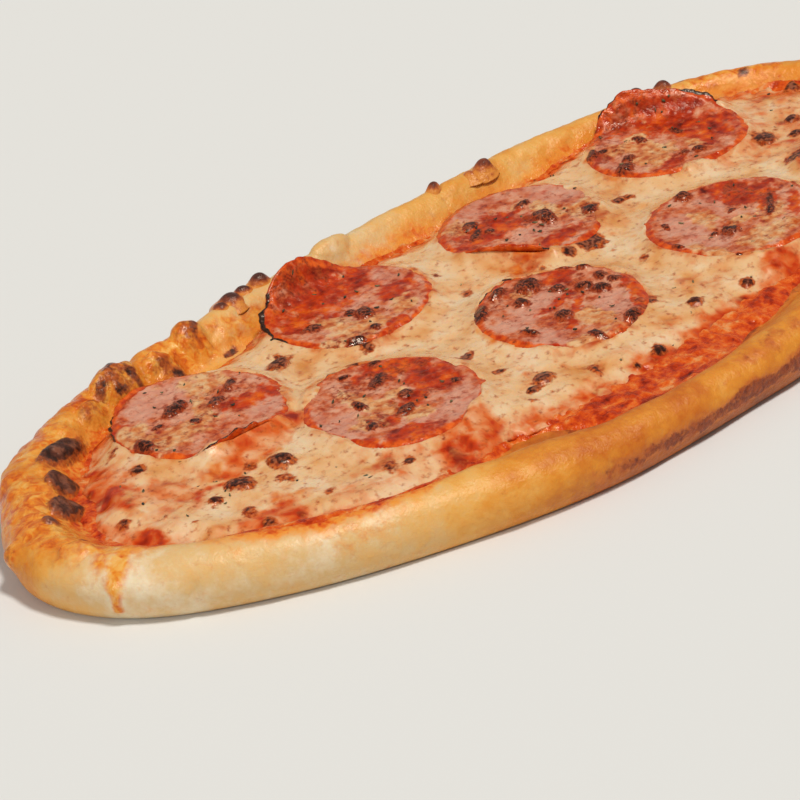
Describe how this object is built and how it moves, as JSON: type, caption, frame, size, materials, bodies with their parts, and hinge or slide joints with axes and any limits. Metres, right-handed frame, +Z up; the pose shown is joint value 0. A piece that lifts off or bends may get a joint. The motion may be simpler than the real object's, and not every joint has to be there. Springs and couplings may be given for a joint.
{
  "type": "pepperoni flatbread",
  "caption": "Long oval baked flatbread with a raised crust, tomato sauce, melted cheese, curled pepperoni slices and herb flakes.",
  "frame": {"origin": "middle of the flat underside, below the centre of the bread's box", "axes": "+X along the long axis, +Y across it, +Z up from the surface that it lies on"},
  "size_m": [0.3468, 0.161, 0.0253],
  "materials": {
    "crust": "baked bread dough, pale cream to golden brown with toasted spots, slightly oily",
    "sauce": "glossy baked tomato sauce",
    "cheese": "melted cheese, cream with pink stains and browned blisters",
    "pepperoni": "greasy mottled cured sausage with darker edges"
  },
  "bodies": {
    "root": {"crust": "crust", "sauce": "sauce", "cheese": "cheese", "pepperoni_01": "pepperoni", "pepperoni_02": "pepperoni", "pepperoni_03": "pepperoni", "pepperoni_04": "pepperoni", "pepperoni_05": "pepperoni", "pepperoni_06": "pepperoni", "pepperoni_07": "pepperoni", "pepperoni_08": "pepperoni"}
  },
  "joints": []
}
